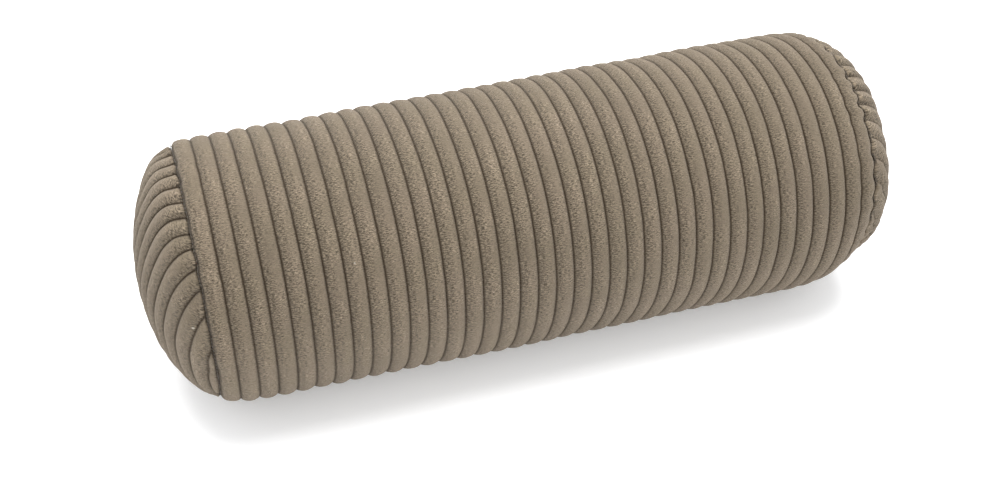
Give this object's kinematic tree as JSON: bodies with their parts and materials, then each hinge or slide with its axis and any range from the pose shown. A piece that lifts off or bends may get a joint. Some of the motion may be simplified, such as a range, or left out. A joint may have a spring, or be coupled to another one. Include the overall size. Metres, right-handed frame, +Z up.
{
  "type": "bolster cushion",
  "caption": "Round corduroy bolster cushion with domed ends and a zipped cover over a fibre-filled inner case.",
  "frame": {"origin": "middle of the flat strip on the underside that the cushion rests on", "axes": "+X along the roll, towards the end where the zip closes; +Z up; +Y towards the back, where the zip is"},
  "size_m": [0.582, 0.2, 0.197],
  "materials": {
    "corduroy": "matte",
    "sewing_thread": "matte",
    "zip_tape": "matte",
    "zip_coil": "satin",
    "zip_metal": "satin",
    "inner_case": "matte",
    "case_thread": "matte",
    "fibre": "matte"
  },
  "bodies": {
    "bolster": {"cover_body": "corduroy", "cover_left_end": "corduroy", "cover_right_end": "corduroy", "cover_left_seam_thread": "sewing_thread", "cover_right_seam_thread": "sewing_thread", "cover_long_seam_thread_left": "sewing_thread", "cover_long_seam_thread_right": "sewing_thread", "zip_tape_upper": "zip_tape", "zip_tape_lower": "zip_tape", "zip_coil_upper": "zip_coil", "zip_coil_lower": "zip_coil", "zip_bottom_stop": "zip_metal", "zip_top_stop_upper": "zip_metal", "zip_top_stop_lower": "zip_metal", "zip_stitching_upper": "sewing_thread", "zip_stitching_lower": "sewing_thread", "inner_case_body": "inner_case", "inner_case_left_end": "inner_case", "inner_case_right_end": "inner_case", "inner_case_left_seam_thread": "case_thread", "inner_case_right_seam_thread": "case_thread", "inner_case_closing_thread": "case_thread", "fibre_filling": "fibre"},
    "zip_slider": {"zip_slider": "zip_metal"},
    "pull_tab": {"zip_pull_tab": "zip_metal"}
  },
  "joints": [
    {"name": "zip_slide", "type": "slide", "parent": "bolster", "child": "zip_slider", "axis": [1, 0, 0], "range_m": [-0.3722, 0]},
    {"name": "pull_tab_hinge", "type": "hinge", "parent": "zip_slider", "child": "pull_tab", "pos_m": [0.1906, 0.09547, 0.11729], "axis": [0, 0.2079, -0.9781], "range_deg": [0, 150]}
  ]
}
